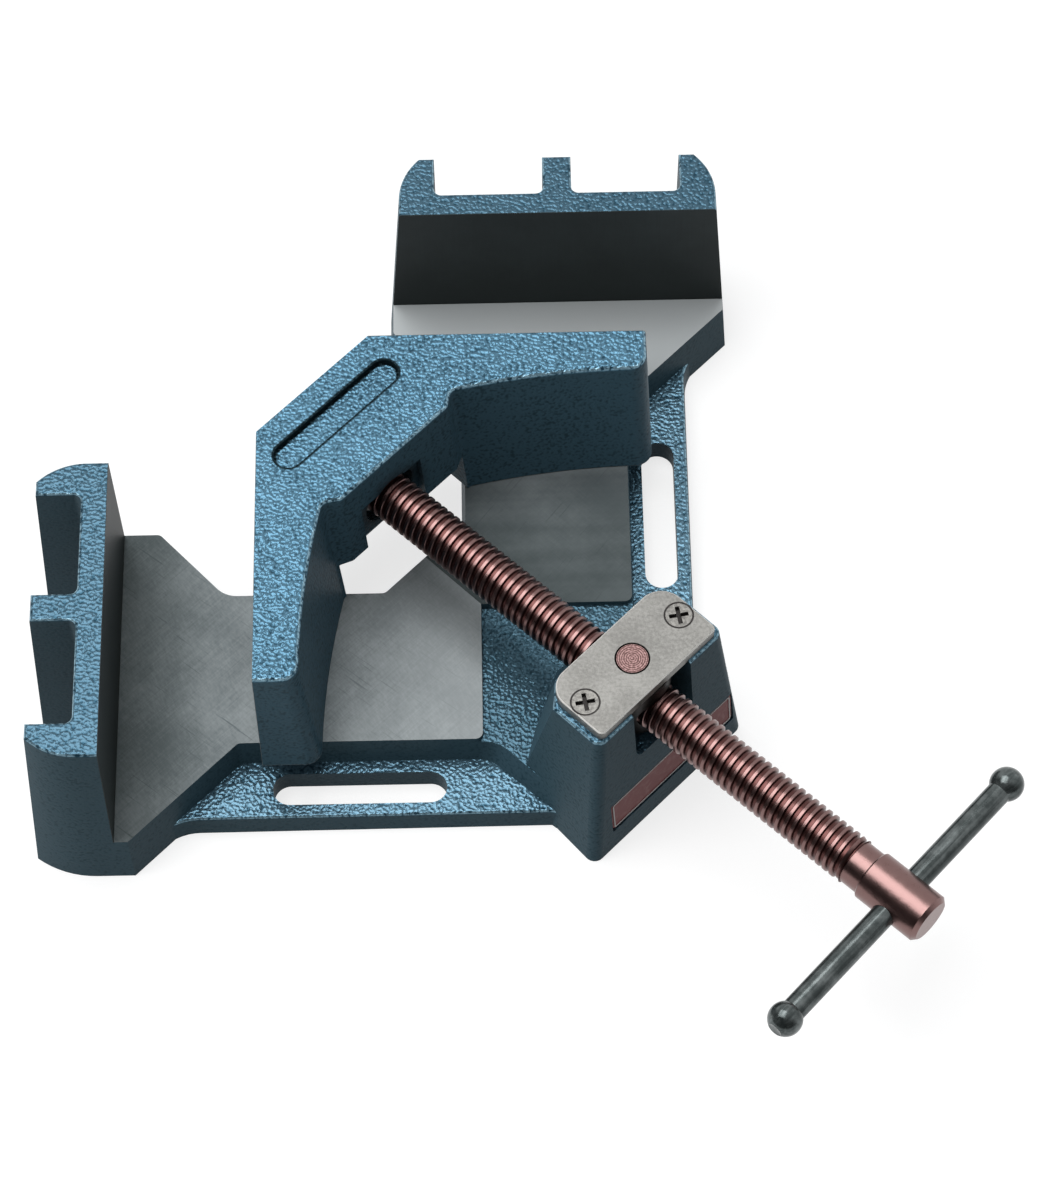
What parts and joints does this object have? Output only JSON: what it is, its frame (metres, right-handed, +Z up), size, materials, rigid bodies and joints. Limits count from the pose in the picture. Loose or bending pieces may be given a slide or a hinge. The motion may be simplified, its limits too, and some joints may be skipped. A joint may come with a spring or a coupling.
{
  "type": "corner clamp",
  "caption": "Cast bench clamp that holds two pieces of work at a right angle: a swinging screw drives an angled jaw along the diagonal against fixed ribbed jaws.",
  "frame": {"origin": "the nut's pivot axis at the underside of the base", "axes": "+Z up; the left fixed jaw faces +X and the other fixed jaw faces -Y; the screw lies between +X and -Y, handle away from the corner"},
  "size_m": [0.3133, 0.3124, 0.075],
  "materials": {
    "teal_paint": "hammered gloss paint, machined faces bare grey",
    "maroon_plate": "satin, bare",
    "pale_plating": "nickel or zinc plating",
    "copper_plating": "copper plating",
    "plain_steel": "machined",
    "black_oxide": "black oxide"
  },
  "bodies": {
    "base": {"base_casting": "teal_paint", "nameplate": "maroon_plate", "cover_plate": "pale_plating", "cover_screws": "pale_plating"},
    "nut": {"trunnion_nut": "copper_plating"},
    "swivel": {"swivel_barrel": "plain_steel", "thrust_washer": "plain_steel"},
    "screw": {"spindle": "copper_plating", "retaining_ring": "plain_steel"},
    "bar": {"tommy_bar": "black_oxide", "left_bar_knob": "black_oxide", "right_bar_knob": "black_oxide"},
    "jaw": {"moving_jaw": "teal_paint"}
  },
  "joints": [
    {"name": "nut_swing", "type": "hinge", "parent": "base", "child": "nut", "pos_m": [0, 0, 0.052], "axis": [0, 0, 1], "range_deg": [-4.25, 0.75]},
    {"name": "jaw_travel", "type": "slide", "parent": "nut", "child": "swivel", "axis": [0.7284, -0.6852, 0], "range_m": [-0.054, 0.064]},
    {"name": "screw_turn", "type": "hinge", "parent": "swivel", "child": "screw", "pos_m": [0, 0, 0.052], "axis": [0.7284, -0.6852, 0], "range_deg": [-7080.6, 8389.6]},
    {"name": "bar_slide", "type": "slide", "parent": "screw", "child": "bar", "axis": [0.6852, 0.7284, 0], "range_m": [-0.0378, 0.04]},
    {"name": "jaw_swivel", "type": "hinge", "parent": "swivel", "child": "jaw", "pos_m": [-0.08848, 0.08323, 0.052], "axis": [0, 0, 1], "range_deg": [-0.8, 4.3]}
  ],
  "couplings": [
    {"joint": "screw_turn", "follows": "jaw_travel", "rad_per_m": 2284.8},
    {"joint": "jaw_swivel", "follows": "nut_swing", "ratio": -1}
  ]
}
